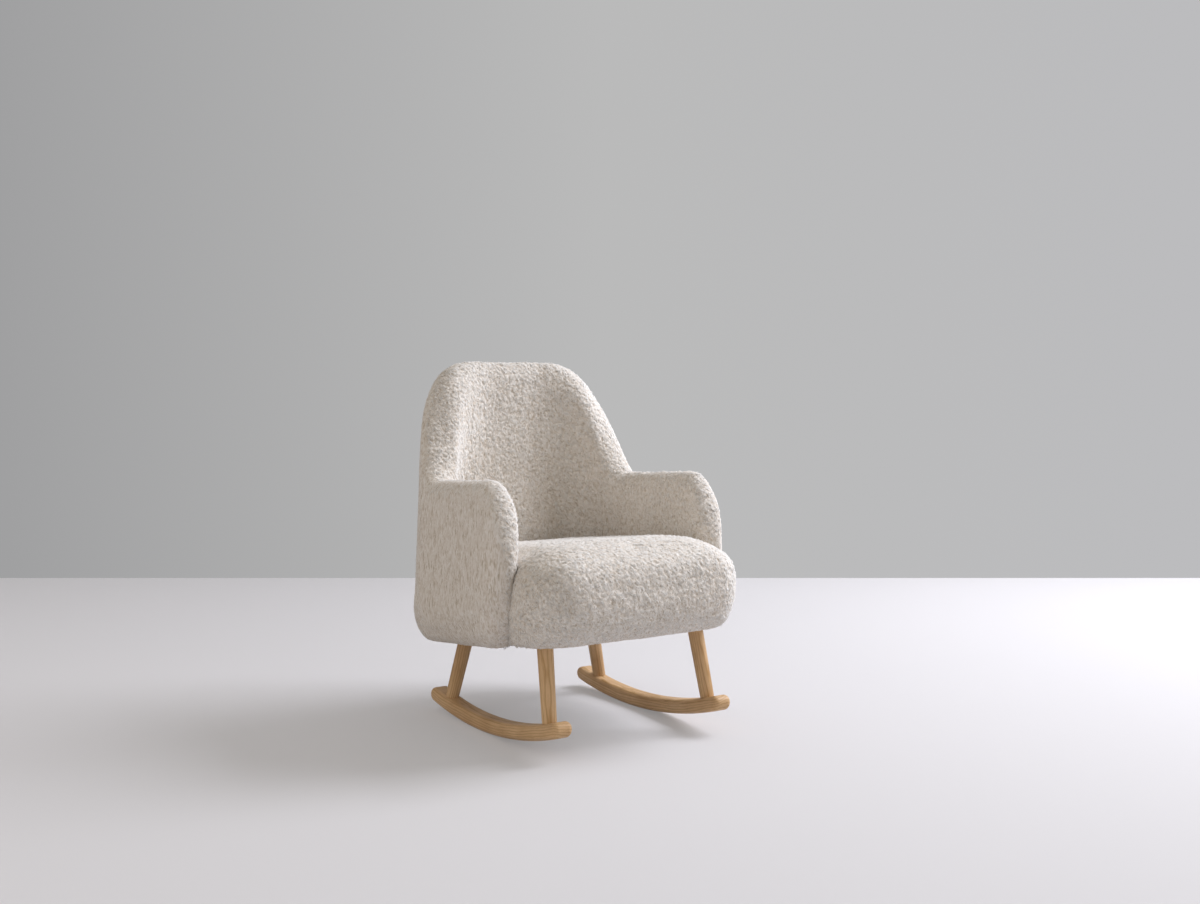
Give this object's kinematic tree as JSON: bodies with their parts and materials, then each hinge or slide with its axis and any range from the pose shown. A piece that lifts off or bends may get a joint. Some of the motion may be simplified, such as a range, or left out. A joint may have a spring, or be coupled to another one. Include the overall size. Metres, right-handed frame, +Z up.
{
  "type": "upholstered rocking chair",
  "caption": "Tub-shaped rocking chair in cream curled-pile fabric with a thick seat, low rounded arms and a tall back, on splayed round wooden legs set into curved rockers.",
  "frame": {"origin": "on the floor, in the middle of the chair's width and depth", "axes": "+Z up from the floor, -Y to the front of the chair, +X to the right as seen from the front"},
  "size_m": [0.6714, 0.7328, 0.9081],
  "materials": {
    "teddy_fabric": "matte",
    "oak": "satin",
    "frame_timber": "matte",
    "foam": "matte",
    "felt": "matte",
    "dust_cloth": "matte",
    "spring_steel": "satin",
    "zinc_steel": "satin"
  },
  "bodies": {
    "root": {"arm_post_left": "frame_timber", "arm_post_right": "frame_timber", "arm_rail_left": "frame_timber", "arm_rail_right": "frame_timber", "back_rail_lower": "frame_timber", "back_rail_lumbar": "frame_timber", "back_rail_top": "frame_timber", "back_upright_left": "frame_timber", "back_upright_right": "frame_timber", "corner_block_front_left": "frame_timber", "corner_block_front_right": "frame_timber", "corner_block_rear_left": "frame_timber", "corner_block_rear_right": "frame_timber", "corner_post_left": "frame_timber", "corner_post_right": "frame_timber", "corner_rail_lower_left": "frame_timber", "corner_rail_lower_right": "frame_timber", "corner_rail_upper_left": "frame_timber", "corner_rail_upper_right": "frame_timber", "dust_cover": "dust_cloth", "leg_front_left": "oak", "leg_front_right": "oak", "leg_hanger_bolts": "zinc_steel", "leg_plate_screws": "zinc_steel", "leg_plates": "zinc_steel", "leg_rear_left": "oak", "leg_rear_right": "oak", "rocker_left": "oak", "rocker_right": "oak", "seat_cover": "teddy_fabric", "seat_foam": "foam", "seat_rail_front": "frame_timber", "seat_rail_left": "frame_timber", "seat_rail_rear": "frame_timber", "seat_rail_right": "frame_timber", "seat_springs": "spring_steel", "shell_bolts": "zinc_steel", "shell_cover": "teddy_fabric", "shell_foam": "foam", "shell_tee_nuts": "zinc_steel", "shell_washers": "zinc_steel", "spring_clips": "spring_steel", "spring_felt": "felt"}
  },
  "joints": []
}
